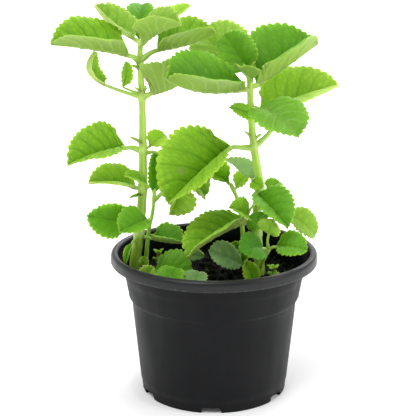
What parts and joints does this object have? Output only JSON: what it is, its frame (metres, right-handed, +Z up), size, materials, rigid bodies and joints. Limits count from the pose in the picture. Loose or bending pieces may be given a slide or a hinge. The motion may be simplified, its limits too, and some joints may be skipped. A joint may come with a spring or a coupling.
{
  "type": "potted herb",
  "caption": "Bushy herb with thick scalloped leaves in opposite pairs on upright stems, in a round tapered plant pot of dark plastic.",
  "frame": {"origin": "middle of the bounding box of the whole plant and pot, on the plane that the pot's foot stands on", "axes": "+Z up along the pot, -Y towards the side that the picture shows, +X to its right"},
  "size_m": [0.2002, 0.15, 0.2832],
  "materials": {
    "pot": "satin",
    "soil": "matte",
    "stem": "satin",
    "leaf_deep": "matte",
    "leaf_fresh": "matte",
    "leaf_light": "matte",
    "leaf_grey": "matte"
  },
  "bodies": {
    "root": {"pot": "pot", "soil": "soil", "stem_left": "stem", "stem_right": "stem", "shoot_left": "stem", "shoot_centre": "stem", "shoot_front": "stem", "rosette": "leaf_fresh", "seedling": "leaf_fresh", "left_crown_front_leaf": "leaf_light", "left_crown_back_leaf": "leaf_deep", "left_crown_left_leaf": "leaf_fresh", "left_crown_right_leaf": "leaf_deep", "left_high_left_leaf": "leaf_deep", "left_high_right_leaf": "leaf_fresh", "left_middle_left_leaf": "leaf_fresh", "left_middle_sprout_leaf": "leaf_deep", "left_middle_right_leaf": "leaf_light", "left_low_left_leaf": "leaf_fresh", "left_low_right_leaf": "leaf_deep", "left_low_sprout_leaf": "leaf_deep", "left_lower_left_leaf": "leaf_fresh", "left_lower_front_leaf": "leaf_deep", "left_shoot_upright_leaf": "leaf_deep", "left_shoot_hanging_leaf": "leaf_light", "left_base_left_leaf": "leaf_deep", "left_base_front_leaf": "leaf_deep", "left_base_right_leaf": "leaf_deep", "left_base_hanging_leaf": "leaf_deep", "right_crown_front_leaf": "leaf_light", "right_crown_back_leaf": "leaf_deep", "right_crown_far_leaf": "leaf_light", "right_top_left_leaf": "leaf_deep", "right_top_right_leaf": "leaf_deep", "right_high_right_leaf": "leaf_light", "right_high_front_leaf": "leaf_deep", "right_high_left_leaf": "leaf_deep", "right_middle_left_leaf": "leaf_fresh", "right_lower_left_leaf": "leaf_grey", "right_lower_right_leaf": "leaf_fresh", "right_lower_sprout_leaf": "leaf_deep", "right_front_large_leaf": "leaf_deep", "right_far_leaf": "leaf_light", "right_front_dark_leaf": "leaf_deep", "right_front_left_leaf": "leaf_deep", "right_base_left_leaf": "leaf_deep", "centre_leaf": "leaf_deep", "centre_right_leaf": "leaf_light", "front_left_leaf": "leaf_deep", "front_right_leaf": "leaf_deep", "front_top_leaf": "leaf_light", "soil_grey_leaf": "leaf_grey", "soil_dark_leaf": "leaf_deep", "soil_small_leaf": "leaf_grey", "soil_folded_leaf": "leaf_deep", "soil_big_leaf": "leaf_deep", "soil_curly_leaf": "leaf_light", "soil_pale_leaf": "leaf_light", "soil_left_leaf": "leaf_light", "soil_bud_leaf": "leaf_light"}
  },
  "joints": []
}
